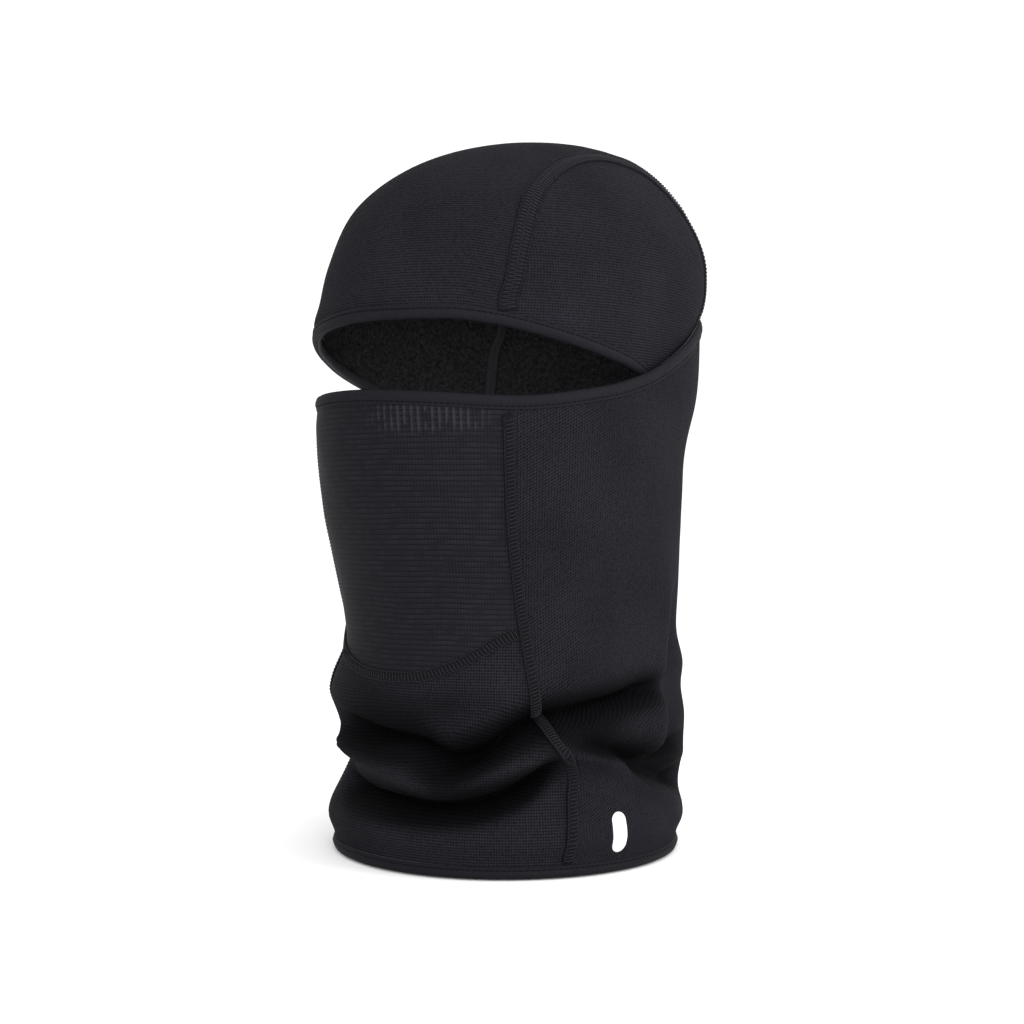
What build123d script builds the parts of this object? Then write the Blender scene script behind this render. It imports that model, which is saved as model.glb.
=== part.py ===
"""Hinged balaclava: a three-panel hood nested inside a neck tube with a woven face mask.

Millimetres. +Z is up, -Y is the way the face looks and +X is the wearer's left.
The origin is on the resting plane of the hem, under the middle of the object.
The cloth is drawn as the thin shells that the worn garment forms, cut along its seams.
The tube gathers over the neck, so each of its panels is a collar part that stays, a
neck part that crumples and an upper part that is pulled down with the mask.
"""

import math
import os

from build123d import *

# ---------------------------------------------------------------- driving dimensions
CLOTH = 1.8  # brushed knit, face to back
TAPE = 0.9  # fold-over binding, thickness of one leg
TAPE_WIDTH = 6.5  # height of a binding leg
THREAD = 0.6  # how far a flatlock seam stands out of the cloth
TUBE_SEAM_WIDTH = 6.0
HOOD_SEAM_WIDTH = 8.0
REACH = 300.0  # half size of the cutting blocks, larger than the object

COLLAR_TOP = 33.0  # the collar band ends here and the gathers of the neck begin
GATHER_TOP = 92.0  # the gathers end here
HOOD_NECK_FOOT = 21.0  # the hood's neck is sewn into the collar from here up
JOIN_SEAM_HEIGHT = 4.0
HOOD_NECK_TOP = 166.0  # above this the cloth belongs to the hood
HOOD_FOOT = 170.0
BELOW = 6.0  # how far a form runs on past the cut at its foot
MIDDLE = 1.25  # brings the middle of the box round the object over the origin
NECK_CUTOUT_FOOT = 112.0  # the face opening of the hood ends here, under the chin

# (height, half width, half length, centre along Y) of the tube's outer face, hem to rim
TUBE_SECTIONS = [
    (-BELOW, 78.3, 80.0, -4.5),
    (29.0, 79.0, 79.0, -2.0),
    (58.0, 78.5, 80.5, -1.5),
    (87.0, 75.5, 81.5, -2.0),
    (116.0, 74.0, 84.5, -2.0),
    (145.0, 75.8, 89.5, -4.0),
    (174.0, 78.0, 94.5, -5.5),
    (203.0, 80.5, 98.0, -5.0),
    (232.0, 82.0, 100.5, -2.0),
    (261.0, 83.0, 101.5, 0.0),
]

# the same for the hood's outer face, from where it leaves the neck to the crown
HOOD_SECTIONS = [
    (HOOD_FOOT - BELOW, 72.0, 87.0, -6.0),
    (197.0, 75.6, 93.0, -6.5),
    (224.0, 77.6, 96.0, -5.0),
    (250.0, 78.8, 99.3, -2.5),
    (273.0, 74.5, 97.0, 3.0),
    (292.0, 63.8, 84.5, 5.5),
    (306.0, 47.5, 64.5, 9.0),
    (314.5, 27.0, 38.0, 11.5),
    (318.0, 0.0, 0.0, 13.5),
]

# the neck of the hood, worn inside the tube
HOOD_NECK_SECTIONS = [
    (HOOD_NECK_FOOT - BELOW, 76.8, 77.0, -3.0),
    (51.0, 69.0, 71.5, 0.0),
    (81.0, 67.5, 73.0, 0.0),
    (111.0, 68.0, 76.5, -1.0),
    (141.0, 69.6, 82.0, -3.5),
    (HOOD_FOOT, 72.5, 88.0, -6.0),
]

# rim of the tube seen from the side: level over the nose, then climbing to the nape
RIM_FRONT = 201.2
RIM_BEND_Y = -52.0
RIM_BACK = (104.0, 249.5)
RIM_BEND_RADIUS = 120.0

# face opening of the hood seen from the side
BROW = 231.0
BROW_BEND_Y = -84.0
TEMPLE = (6.0, 209.5)
EAR = (19.0, 170.0)
OPENING_RADIUS = 18.0

# plan angle of the two front seams from straight ahead: (height, degrees)
FRONT_SEAM_ANGLES = [
    (-8.0, 57.0),
    (42.0, 58.5),
    (70.0, 49.0),
    (100.0, 44.5),
    (135.0, 41.0),
    (270.0, 37.5),
]
CHIN_SEAM_ENDS = 101.0  # height of the mask's lower corners
CHIN_SEAM_SAG = 12.5
CHIN_SEAM_REACH = 50.0

# half width of the hood's middle panel in plan: front, over the crown, back
STRIP = [(58.0, -72.0), (48.5, -6.0), (60.5, 64.0)]

TAB_HEIGHT = 17.0  # reflective tab on the collar
TAB_ANGLE = 74.0  # plan angle from straight ahead, towards the wearer's left
TAB_SIZE = (7.0, 17.0)
TAB_THICKNESS = 0.4

JOIN = Mode.INTERSECT
CUT = Mode.SUBTRACT


# ---------------------------------------------------------------- forms
def halfway(before, low, high, after):
    """The section between low and high, on a smooth curve through all four."""
    return [(9 * (b + c) - a - d) / 16 for a, b, c, d in zip(before, low, high, after)]


def between(sections):
    """The driving sections, with one more between each two."""
    ends = [sections[0], *sections, sections[-1]]
    slices = []
    for before, low, high, after in zip(ends, ends[1:], ends[2:], ends[3:]):
        slices.append(low)
        slices.append(halfway(before, low, high, after))
    return [*slices, sections[-1]]


def lofted(sections, grow=0.0):
    """A solid through horizontal ellipses, grown square to its face.

    It closes where they shrink to a point.
    """
    slices = between(sections)
    with BuildPart() as form:
        rings = []
        for here, (height, half_width, half_length, centre) in enumerate(slices):
            low, high = slices[max(here - 1, 0)], slices[min(here + 1, len(slices) - 1)]
            rise, spread = high[0] - low[0], high[1] - low[1]
            slope = math.hypot(rise, spread)
            if half_width == 0:
                rings.append(Vertex(0, centre + MIDDLE, height + grow))
                continue
            with BuildSketch(Plane.XY.offset(height - grow * spread / slope)) as ring:
                with Locations((0, centre + MIDDLE)):
                    Ellipse(half_width + grow * rise / slope, half_length + grow * rise / slope)
            rings.append(ring.sketch)
        loft(sections=rings, ruled=True)
    return form.part


def shell(outer, inner):
    """The cloth between two nested forms."""
    with BuildPart() as cloth:
        add(outer)
        add(inner, mode=CUT)
    return cloth.part


def slab(low, high):
    """Everything between two heights."""
    with BuildPart() as block:
        with Locations((0, 0, (low + high) / 2)):
            Box(2 * REACH, 2 * REACH, high - low)
    return block.part


def half(side):
    """The wearer's left (+1) or right (-1) half of space."""
    with BuildPart() as block:
        with Locations((side * REACH, 0, 0)):
            Box(2 * REACH, 4 * REACH, 4 * REACH)
    return block.part


def below_rim(drop=0.0):
    """Everything under the rim line of the tube, or under a line parallel to it."""
    back = (RIM_BACK[0], RIM_BACK[1] - drop)
    with BuildPart() as block:
        with BuildSketch(Plane.YZ):
            with BuildLine():
                FilletPolyline(
                    (-REACH, RIM_FRONT - drop),
                    (RIM_BEND_Y, RIM_FRONT - drop),
                    back,
                    radius=RIM_BEND_RADIUS,
                )
                Polyline(
                    back,
                    (REACH, back[1]),
                    (REACH, -REACH),
                    (-REACH, -REACH),
                    (-REACH, RIM_FRONT - drop),
                )
            make_face()
        extrude(amount=REACH, both=True)
    return block.part


def face_opening(margin=0.0, foot=-REACH):
    """The space ahead of the hood's edge: level over the brow, then down past the ear."""
    with BuildPart() as block:
        with BuildSketch(Plane.YZ):
            with BuildLine():
                FilletPolyline(
                    (-REACH, BROW + margin),
                    (BROW_BEND_Y, BROW + margin),
                    (TEMPLE[0] + margin, TEMPLE[1] + margin / 2),
                    (EAR[0] + margin, EAR[1]),
                    (EAR[0] + margin, foot - margin),
                    (-REACH, foot - margin),
                    radius=OPENING_RADIUS,
                )
                Line((-REACH, foot - margin), (-REACH, BROW + margin))
            make_face()
        extrude(amount=REACH, both=True)
    return block.part


def front_wedge(spread=0.0):
    """The space ahead of the two front seams, moved out at each of them by spread."""
    with BuildPart() as wedge:
        slices = []
        for height, angle in FRONT_SEAM_ANGLES:
            turn = math.radians(angle)
            apex = spread / math.sin(turn)
            far = (REACH * math.sin(turn), apex - REACH * math.cos(turn))
            with BuildSketch(Plane.XY.offset(height)) as slice_:
                Polygon((0, apex), (-far[0], far[1]), far, align=None)
            slices.append(slice_.sketch)
        loft(sections=slices, ruled=True)
    return wedge.part


def middle_strip(spread=0.0):
    """The waisted strip over the head between the two hood seams."""
    front, waist, back = [(x + spread, y) for x, y in STRIP]
    with BuildPart() as strip:
        with BuildSketch():
            with BuildLine():
                Line((front[0], -REACH), front)
                ThreePointArc(front, waist, back)
                Polyline(back, (back[0], REACH), (0, REACH), (0, -REACH), (front[0], -REACH))
            make_face()
            mirror(about=Plane.YZ)
        extrude(amount=2 * REACH)
    return strip.part


def above_chin_seam(drop=0.0):
    """Everything over the sagging seam at the foot of the mask."""
    ends = CHIN_SEAM_ENDS - drop
    with BuildPart() as block:
        with BuildSketch(Plane.XZ):
            with BuildLine():
                ThreePointArc(
                    (-CHIN_SEAM_REACH, ends), (0, ends - CHIN_SEAM_SAG), (CHIN_SEAM_REACH, ends)
                )
                Polyline(
                    (CHIN_SEAM_REACH, ends),
                    (REACH, ends),
                    (REACH, 2 * REACH),
                    (-REACH, 2 * REACH),
                    (-REACH, ends),
                    (-CHIN_SEAM_REACH, ends),
                )
            make_face()
        extrude(amount=REACH, both=True)
    return block.part


def back_strip(width):
    """A strip down the middle of the back."""
    with BuildPart() as strip:
        with Locations((0, REACH / 2, 0)):
            Box(width, REACH, 4 * REACH)
    return strip.part


def save(piece, name):
    """Labels a finished sub-part and writes it under its node's name."""
    piece.part.label = name
    export_step(piece.part, f"parts/{name}.step")


os.makedirs("parts", exist_ok=True)

tube_face = lofted(TUBE_SECTIONS)
tube_back = lofted(TUBE_SECTIONS, -CLOTH)
tube_cloth = shell(tube_face, tube_back)
tube_thread = shell(lofted(TUBE_SECTIONS, THREAD), tube_face)
tube_tape = shell(lofted(TUBE_SECTIONS, TAPE), lofted(TUBE_SECTIONS, -CLOTH - TAPE))

hood_face = lofted(HOOD_SECTIONS)
hood_cloth = shell(shell(hood_face, lofted(HOOD_SECTIONS, -CLOTH)), slab(0, HOOD_FOOT))
hood_thread = shell(shell(lofted(HOOD_SECTIONS, THREAD), hood_face), slab(0, HOOD_FOOT))
hood_tape = shell(lofted(HOOD_SECTIONS, TAPE), lofted(HOOD_SECTIONS, -CLOTH - TAPE))

neck_face = lofted(HOOD_NECK_SECTIONS)
neck_cloth = shell(neck_face, lofted(HOOD_NECK_SECTIONS, -CLOTH))

rim = below_rim()
cloth_under_rim_tape = below_rim(TAPE)
clear_of_rim_tape = below_rim(TAPE_WIDTH)
front = front_wedge()
chin_line = above_chin_seam()
strip = middle_strip()
SIDES = {"left": half(1), "right": half(-1)}

# ---------------------------------------------------------------- collar band
collar_band = slab(TAPE, COLLAR_TOP)

with BuildPart() as hem_binding:
    add(tube_tape)
    add(slab(0, TAPE_WIDTH), mode=JOIN)
    add(shell(tube_cloth, slab(-REACH, TAPE)), mode=CUT)
save(hem_binding, "hem_binding")

with BuildPart() as collar_front:
    add(tube_cloth)
    add(collar_band, mode=JOIN)
    add(front, mode=JOIN)
save(collar_front, "collar_front")

for side, space in SIDES.items():
    with BuildPart() as collar_side:
        add(tube_cloth)
        add(collar_band, mode=JOIN)
        add(front, mode=CUT)
        add(space, mode=JOIN)
    save(collar_side, f"collar_{side}")

with BuildPart() as reflective_tab:
    plan = math.radians(TAB_ANGLE)
    outward = Plane(
        origin=(0, 0, TAB_HEIGHT),
        z_dir=(math.sin(plan), -math.cos(plan), 0),
        x_dir=(math.cos(plan), math.sin(plan), 0),
    )
    with BuildSketch(outward):
        SlotOverall(TAB_SIZE[1], TAB_SIZE[0], rotation=90)
    extrude(amount=REACH)
    add(shell(lofted(TUBE_SECTIONS, TAB_THICKNESS), tube_face), mode=JOIN)
save(reflective_tab, "reflective_tab")

# ---------------------------------------------------------------- gathers of the neck
gather_band = slab(COLLAR_TOP, GATHER_TOP)

with BuildPart() as neck_front:
    add(tube_cloth)
    add(slab(COLLAR_TOP, CHIN_SEAM_ENDS), mode=JOIN)
    add(front, mode=JOIN)
    add(chin_line, mode=CUT)
save(neck_front, "neck_front")

for side, space in SIDES.items():
    with BuildPart() as neck_side:
        add(tube_cloth)
        add(gather_band, mode=JOIN)
        add(front, mode=CUT)
        add(space, mode=JOIN)
    save(neck_side, f"neck_{side}")

# ---------------------------------------------------------------- mask and cheeks
above_gathers = slab(GATHER_TOP, 2 * REACH)

with BuildPart() as mask_panel:
    add(tube_cloth)
    add(front, mode=JOIN)
    add(chin_line, mode=JOIN)
    add(cloth_under_rim_tape, mode=JOIN)
save(mask_panel, "mask_panel")

for side, space in SIDES.items():
    with BuildPart() as cheek:
        add(tube_cloth)
        add(above_gathers, mode=JOIN)
        add(front, mode=CUT)
        add(space, mode=JOIN)
        add(cloth_under_rim_tape, mode=JOIN)
    save(cheek, f"cheek_{side}")

with BuildPart() as rim_binding:
    add(tube_tape)
    add(rim, mode=JOIN)
    add(clear_of_rim_tape, mode=CUT)
    add(shell(tube_cloth, shell(slab(-REACH, 2 * REACH), cloth_under_rim_tape)), mode=CUT)
save(rim_binding, "rim_binding")

# ---------------------------------------------------------------- seams of the tube
with BuildPart() as chin_seam:
    add(tube_thread)
    add(front_wedge(-TUBE_SEAM_WIDTH / 2), mode=JOIN)
    add(above_chin_seam(TUBE_SEAM_WIDTH / 2), mode=JOIN)
    add(above_chin_seam(-TUBE_SEAM_WIDTH / 2), mode=CUT)
save(chin_seam, "chin_seam")

seam_wedge = shell(front_wedge(TUBE_SEAM_WIDTH / 2), front_wedge(-TUBE_SEAM_WIDTH / 2))
SEAM_RUNS = {
    "collar": slab(TAPE_WIDTH, COLLAR_TOP),
    "neck": gather_band,
    "upper": above_gathers,
}
for side, space in SIDES.items():
    for run, band in SEAM_RUNS.items():
        with BuildPart() as front_seam:
            add(tube_thread)
            add(seam_wedge, mode=JOIN)
            add(space, mode=JOIN)
            add(band, mode=JOIN)
            add(clear_of_rim_tape, mode=JOIN)
        save(front_seam, f"front_seam_{side}_{run}")

for run, band in SEAM_RUNS.items():
    with BuildPart() as back_seam:
        add(tube_thread)
        add(back_strip(TUBE_SEAM_WIDTH), mode=JOIN)
        add(band, mode=JOIN)
        add(clear_of_rim_tape, mode=JOIN)
    save(back_seam, f"back_seam_{run}")

# ---------------------------------------------------------------- hood
hood_opening = face_opening()
cloth_behind_tape = face_opening(TAPE)
clear_of_face_tape = face_opening(TAPE_WIDTH)

with BuildPart() as crown_panel:
    add(hood_cloth)
    add(strip, mode=JOIN)
    add(cloth_behind_tape, mode=CUT)
save(crown_panel, "crown_panel")

for side, space in SIDES.items():
    with BuildPart() as hood_side:
        add(hood_cloth)
        add(strip, mode=CUT)
        add(space, mode=JOIN)
        add(cloth_behind_tape, mode=CUT)
    save(hood_side, f"hood_side_{side}")

with BuildPart() as face_binding:
    add(hood_tape)
    add(slab(HOOD_FOOT, BROW + TAPE_WIDTH), mode=JOIN)
    add(clear_of_face_tape, mode=JOIN)
    add(hood_opening, mode=CUT)
    add(shell(hood_cloth, cloth_behind_tape), mode=CUT)
save(face_binding, "face_binding")

seam_strip = shell(middle_strip(HOOD_SEAM_WIDTH / 2), middle_strip(-HOOD_SEAM_WIDTH / 2))
for side, space in SIDES.items():
    with BuildPart() as hood_seam:
        add(hood_thread)
        add(seam_strip, mode=JOIN)
        add(space, mode=JOIN)
        add(clear_of_face_tape, mode=CUT)
    save(hood_seam, f"hood_seam_{side}")

# ---------------------------------------------------------------- neck of the hood
with BuildPart() as hood_neck:
    add(neck_cloth)
    add(slab(HOOD_NECK_FOOT, HOOD_NECK_TOP), mode=JOIN)
    add(face_opening(foot=NECK_CUTOUT_FOOT), mode=CUT)
save(hood_neck, "hood_neck")

with BuildPart() as join_seam:
    add(tube_back)
    add(slab(HOOD_NECK_FOOT, HOOD_NECK_FOOT + JOIN_SEAM_HEIGHT), mode=JOIN)
    add(neck_face, mode=CUT)
save(join_seam, "join_seam")
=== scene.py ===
import math

import bpy
import numpy as np
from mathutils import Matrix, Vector, noise
from mathutils.bvhtree import BVHTree


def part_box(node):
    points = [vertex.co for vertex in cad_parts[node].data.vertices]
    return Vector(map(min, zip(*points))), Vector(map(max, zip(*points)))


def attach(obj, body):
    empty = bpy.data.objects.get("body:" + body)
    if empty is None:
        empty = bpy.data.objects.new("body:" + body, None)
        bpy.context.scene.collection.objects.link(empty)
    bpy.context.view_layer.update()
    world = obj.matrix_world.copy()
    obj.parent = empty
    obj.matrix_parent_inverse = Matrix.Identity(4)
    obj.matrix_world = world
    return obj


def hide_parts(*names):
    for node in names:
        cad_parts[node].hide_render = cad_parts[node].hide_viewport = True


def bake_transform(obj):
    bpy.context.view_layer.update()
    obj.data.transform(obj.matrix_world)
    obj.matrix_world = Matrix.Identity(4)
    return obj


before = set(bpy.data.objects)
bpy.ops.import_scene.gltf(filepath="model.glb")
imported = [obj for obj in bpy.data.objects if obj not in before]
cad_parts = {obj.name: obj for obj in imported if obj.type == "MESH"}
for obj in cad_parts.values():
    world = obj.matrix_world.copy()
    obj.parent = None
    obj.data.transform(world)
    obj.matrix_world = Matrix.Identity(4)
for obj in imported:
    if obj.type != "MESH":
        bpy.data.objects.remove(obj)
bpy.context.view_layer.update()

MM = 0.001

# ------------------------------------------------------------------ driving values, in millimetres
CLOTH = 1.8  # thickness of the knit
GRID = 2.2  # spacing of the mesh over the cloth
SEAM_MARGIN = 6.5  # an upright seam starts and ends this far from the cloth's edge
RIM_TAPE_WIDTH = 5.0
FACE_TAPE_WIDTH = 4.7
HEM_TAPE_WIDTH = 4.0
TAPE_THICK = 1.0
TUBE_SEAM_WIDTH = 5.0
HOOD_SEAM_WIDTH = 8.4
STITCH = 1.6  # pitch of the flatlock stitches
THREAD = 0.42  # thickness of a thread
HEM_LOW = 0.9  # the collar cloth starts at this height, inside its binding

MIDDLE = np.array([0, 0, 150.0])  # a point inside the object
GIRTH_STEP = 1.42  # millimetres of the tube's girth to one degree of turn
WEAVE_STEP = 1.45  # the same in the weave's own coordinates

SIDES = {"left": 1, "right": -1}


def smooth(t):
    """Runs from 0 to 1 with level ends."""
    t = np.clip(t, 0, 1)
    return t * t * (3 - 2 * t)


def bell(x):
    return np.exp(-x * x)


def through(x, stops):
    """A smooth curve of x through (x, y) stops, level at both ends."""
    xs, ys = np.array(stops, float).T
    x = np.clip(np.asarray(x, float), xs[0], xs[-1])
    here = np.clip(np.searchsorted(xs, x) - 1, 0, len(xs) - 2)
    slopes = np.gradient(ys, xs)
    slopes[[0, -1]] = 0
    width = xs[here + 1] - xs[here]
    t = (x - xs[here]) / width
    return (
        (2 * t**3 - 3 * t**2 + 1) * ys[here]
        + (t**3 - 2 * t**2 + t) * width * slopes[here]
        + (3 * t**2 - 2 * t**3) * ys[here + 1]
        + (t**3 - t**2) * width * slopes[here + 1]
    )


def grain(points, size, seed=0.0):
    """Smooth noise from -1 to 1 at points in millimetres."""
    shift = Vector((seed, 1.7 * seed, 0.3 * seed))
    return np.array([noise.noise(Vector(p) / size + shift) for p in points.reshape(-1, 3)]).reshape(
        points.shape[:-1]
    )


# ------------------------------------------------------------------ the forms, read from the frame
def tree_of(names):
    """A search tree of several CAD nodes together."""
    corners, faces = [], []
    for name in names:
        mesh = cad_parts[name].data
        faces += [[len(corners) + v for v in face.vertices] for face in mesh.polygons]
        corners += [v.co.copy() for v in mesh.vertices]
    return BVHTree.FromPolygons(corners, faces)


TUBE_NODES = [
    "collar_front", "collar_left", "collar_right", "neck_front", "neck_left", "neck_right",
    "mask_panel", "cheek_left", "cheek_right",
]
HOOD_NODES = ["crown_panel", "hood_side_left", "hood_side_right"]
TUBE_TURNS = np.arange(-180, 181, 4.0)  # degrees from straight ahead, towards the wearer's left
TUBE_HEIGHTS = np.arange(2, 262, 4.0)


def radii(tree, turns, heights):
    """The outer radius of a form about the upright axis, carried on past its edges."""
    table = np.zeros((len(heights), len(turns)))
    for col, turn in enumerate(np.radians(turns)):
        outward = Vector((math.sin(turn), -math.cos(turn), 0))
        last = None
        for row, height in enumerate(heights):
            start = outward * 0.3 + Vector((0, 0, height * MM))
            place = tree.ray_cast(start, -outward, 0.295)[0]
            if place is not None:
                last = (0.3 - (start - place).length) / MM
            table[row, col] = last
    for _ in range(3):
        table[1:-1] = (table[:-2] + 2 * table[1:-1] + table[2:]) / 4
    return table


TUBE_TABLE = radii(tree_of(TUBE_NODES), TUBE_TURNS, TUBE_HEIGHTS)


def cubic(t):
    """The four weights of a smooth curve through evenly spaced values."""
    return (
        (-t + 2 * t**2 - t**3) / 2,
        (2 - 5 * t**2 + 3 * t**3) / 2,
        (t + 4 * t**2 - 3 * t**3) / 2,
        (t**3 - t**2) / 2,
    )


def looked_up(table, rows, cols, row, col):
    """The smooth value between the entries of a table."""
    r = np.clip((row - rows[0]) / (rows[1] - rows[0]), 0, len(rows) - 1.001)
    c = np.clip((col - cols[0]) / (cols[1] - cols[0]), 0, len(cols) - 1.001)
    i, j = r.astype(int), c.astype(int)
    total = 0
    for di, down in zip((-1, 0, 1, 2), cubic(r - i)):
        for dj, over in zip((-1, 0, 1, 2), cubic(c - j)):
            entry = table[np.clip(i + di, 0, len(rows) - 1), np.clip(j + dj, 0, len(cols) - 1)]
            total = total + down * over * entry
    return total


def rim_table():
    """The height of the tube's rim at each turn."""
    points = np.array([v.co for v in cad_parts["rim_binding"].data.vertices]) / MM
    turns = np.degrees(np.arctan2(points[:, 0], -points[:, 1]))
    tops = [points[np.abs((turns - t + 180) % 360 - 180) < 9, 2].max() for t in TUBE_TURNS]
    tops = np.array(tops) - TAPE_THICK
    for _ in range(4):
        tops = (np.roll(tops[:-1], 1) + 2 * tops[:-1] + np.roll(tops[:-1], -1)) / 4
        tops = np.append(tops, tops[0])
    return tops


RIM_TABLE = rim_table()
# how far the worn rim sags at each turn, most where it hangs free of the cheek
RIM_SAG = [
    (-140, 0), (-90, 1.6), (-45, 2.0), (-20, -0.2), (0, -0.6), (20, 1.0), (47, 4.4), (60, 6.4),
    (74, 8.2), (92, 7.6), (112, 4.4), (150, 0),
]


def rim(turn):
    wrapped = (np.asarray(turn, float) + 180) % 360 - 180
    return np.interp(wrapped, TUBE_TURNS, RIM_TABLE) - through(wrapped, RIM_SAG)


# Creases and rolls of the gathered neck. Each runs along (turn, height) stops. push is how far it
# stands out (or sinks in), above and below are its half widths, fade is how many degrees each end
# takes to die away, and slide moves the cloth up or down, so that a roll hangs over its crease.
FOLDS = [
    # the roll under the chin
    dict(
        line=[(-120, 76), (-50, 72), (0, 72), (30, 76), (45, 84), (75, 90)],
        push=4.5, above=14, below=9, fade=35,
    ),
    # the deep crease under it
    dict(
        line=[
            (-24, 61), (-4, 58), (10, 56), (22, 50), (33, 56), (41, 63), (48, 67), (62, 70.5),
            (76, 72.5), (96, 76),
        ],
        push=-20, above=5.0, below=5.5, fade=24, slide=-4.5,
    ),
    # the cloth falls in under the chin
    dict(line=[(-14, 73), (10, 69), (30, 70)], push=-4.5, above=7, below=6, fade=22),
    # the curl where the crease starts, and the hollow beside it
    dict(line=[(-4, 54), (8, 53), (18, 49)], push=6, above=3.0, below=3.5, fade=8),
    dict(line=[(12, 49), (20, 47), (30, 52)], push=-7, above=5, below=4, fade=10),
    # the pinch at the wearer's right
    dict(line=[(-115, 48), (-60, 47.5), (-30, 47)], push=-21, above=5.5, below=5.5, fade=18),
    # the rope of cloth across the front
    dict(
        line=[
            (-32, 52), (-14, 48), (1, 44.5), (9, 41.5), (18.5, 39), (28, 42), (37, 46.5), (46, 51),
            (56, 53.5), (72, 50),
        ],
        push=9.5, above=6.0, below=5.5, fade=14, slide=-2.5,
    ),
    # the crease under the rope
    dict(
        line=[(-28, 32), (-10, 30), (18, 29.5), (28, 31), (39, 36), (47, 42), (53, 48)],
        push=-21, above=4.5, below=5.5, fade=15, slide=-3.5,
    ),
    # the collar under its creases
    dict(
        line=[(-170, 15), (-60, 15), (20, 14), (80, 16), (170, 15)],
        push=3.2, above=12, below=12, fade=10,
    ),
    # the fold that lies on the collar, left of the front seam: its crease, the dent below and its swell
    dict(
        line=[(60, 57), (74, 52), (92, 46), (110, 47), (124, 49)],
        push=-11, above=6, below=3.5, fade=18, slide=-3.5,
    ),
    dict(line=[(82, 43), (97, 38), (112, 33), (126, 31)], push=-12, above=5, below=4.5, fade=12),
    dict(line=[(60, 49), (74, 44), (90, 33), (106, 24)], push=3.5, above=4.5, below=5, fade=16),
    # the back: two creases with a roll between them, and a soft swell above
    dict(
        line=[(140, 66), (180, 58), (215, 62), (250, 52)],
        push=-9, above=6, below=6, fade=30, slide=-3.0,
    ),
    dict(line=[(150, 50), (190, 42), (230, 44)], push=6, above=6, below=6, fade=25),
    dict(line=[(165, 34), (200, 30), (240, 35), (262, 38)], push=-9, above=5, below=5, fade=22),
    dict(line=[(120, 84), (165, 80), (220, 84), (270, 78)], push=4, above=11, below=9, fade=35),
]


def fold_strength(fold, turn, height, spread=1.0):
    """How strong a fold is at each place and on the cloth just above it, from 0 to 1."""
    first, last = fold["line"][0][0], fold["line"][-1][0]
    middle = (first + last) / 2
    along = (turn - middle + 180) % 360 - 180 + middle
    over = height - through(along, fold["line"])
    ends = smooth((along - first + fold["fade"] / 2) / fold["fade"])
    ends = ends * smooth((last + fold["fade"] / 2 - along) / fold["fade"])
    width = spread * np.where(over > 0, fold["above"], fold["below"])
    return ends * bell(over / width), ends * bell((over - 0.9 * fold["above"]) / fold["above"])


def fold_shift(turn, height):
    """How far the gathers move the cloth: (out, up), in millimetres."""
    out, up = np.zeros_like(height), np.zeros_like(height)
    for fold in FOLDS:
        here, above = fold_strength(fold, turn, height)
        out += fold["push"] * here
        up += fold.get("slide", 0) * above
    return out, up


# how far in the two sides stand at each height, at the wearer's right and left
RIGHT_HOLLOW = [
    (0, 0), (24, 0), (38, 5), (47, 8.5), (55, 2), (62, 0), (76, 1.4), (98, 4.6), (115, 2.6),
    (135, 1.1), (176, 1.7), (188, 3.0), (200, 6.6),
]
LEFT_HOLLOW = [
    (0, 2.6), (12, 2.8), (22, 3.2), (38, 0.4), (62, 0), (87, 3.0), (110, 1), (150, 1), (178, 2.4),
    (205, -0.4), (237, 1.6),
]


def crease_depth(turn, height):
    """How deep the creases alone sink the cloth, widened, in millimetres of depth; it sets the painted
    crease shade.
    """
    depth = np.zeros_like(height)
    for fold in FOLDS:
        if fold["push"] < 0:
            depth -= fold["push"] * fold_strength(fold, turn, height, 1.5)[0]
    return depth


def hollows(turn, height):
    """How far in the two sides of the tube stand."""
    wrapped = (turn + 180) % 360 - 180
    right = bell((wrapped + 52) / 32) * through(height, RIGHT_HOLLOW)
    return right + bell((wrapped - 130) / 30) * through(height, LEFT_HOLLOW)


def drape(turn, height):
    """The long soft folds of the side panels, and the small unevenness of worn cloth."""
    ridge_turn = through(height, [(40, 96), (75, 101), (130, 112)])
    beside = (turn - ridge_turn + 180) % 360 - 180
    body = smooth((height - 38) / 18) * smooth((132 - height) / 50)
    out = body * (4.2 * bell((beside + 3) / 7) - 5.0 * bell((beside - 9) / 8))
    slant = turn + 0.55 * (height - 120)
    level = smooth((height - 70) / 40) * smooth((205 - height) / 60)
    out += level * (1.1 * np.sin(np.radians(4.2 * slant)) * bell((turn - 95) / 45))
    flat = np.stack([turn * 1.4, height, np.zeros_like(height)], -1)
    return out + 0.7 * grain(flat, 34, 3.1) * smooth((230 - height) / 40) + 0.25 * grain(flat, 13, 8.2)


def tube(turn, height, lift=0.0):
    """Points on the outer face of the tube, in millimetres, lifted off it by lift."""
    turn, height = np.broadcast_arrays(np.asarray(turn, float), np.asarray(height, float))
    wrapped = (turn + 180) % 360 - 180
    reach = looked_up(TUBE_TABLE, TUBE_HEIGHTS, TUBE_TURNS, height, wrapped)
    out, up = fold_shift(turn, height)
    calm = smooth((height - 4) / 12)  # the bound hem lies flat
    reach = reach + (out * calm + drape(turn, height)) * smooth((height - 1) / 8)
    reach = reach - hollows(turn, height)
    heights = height + up * calm
    angle = np.radians(turn)
    points = np.stack([reach * np.sin(angle), -reach * np.cos(angle), heights], -1)
    if np.any(lift):
        points = points + square_to(tube, turn, height) * np.asarray(lift)[..., None]
    return points


def square_to(face, a, b, step=0.4):
    """Unit vectors square to a face at (a, b)."""
    across = face(a + step, b) - face(a - step, b)
    along = face(a, b + step) - face(a, b - step)
    normal = np.cross(across, along)
    return normal / np.maximum(np.linalg.norm(normal, axis=-1, keepdims=True), 1e-9)


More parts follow.
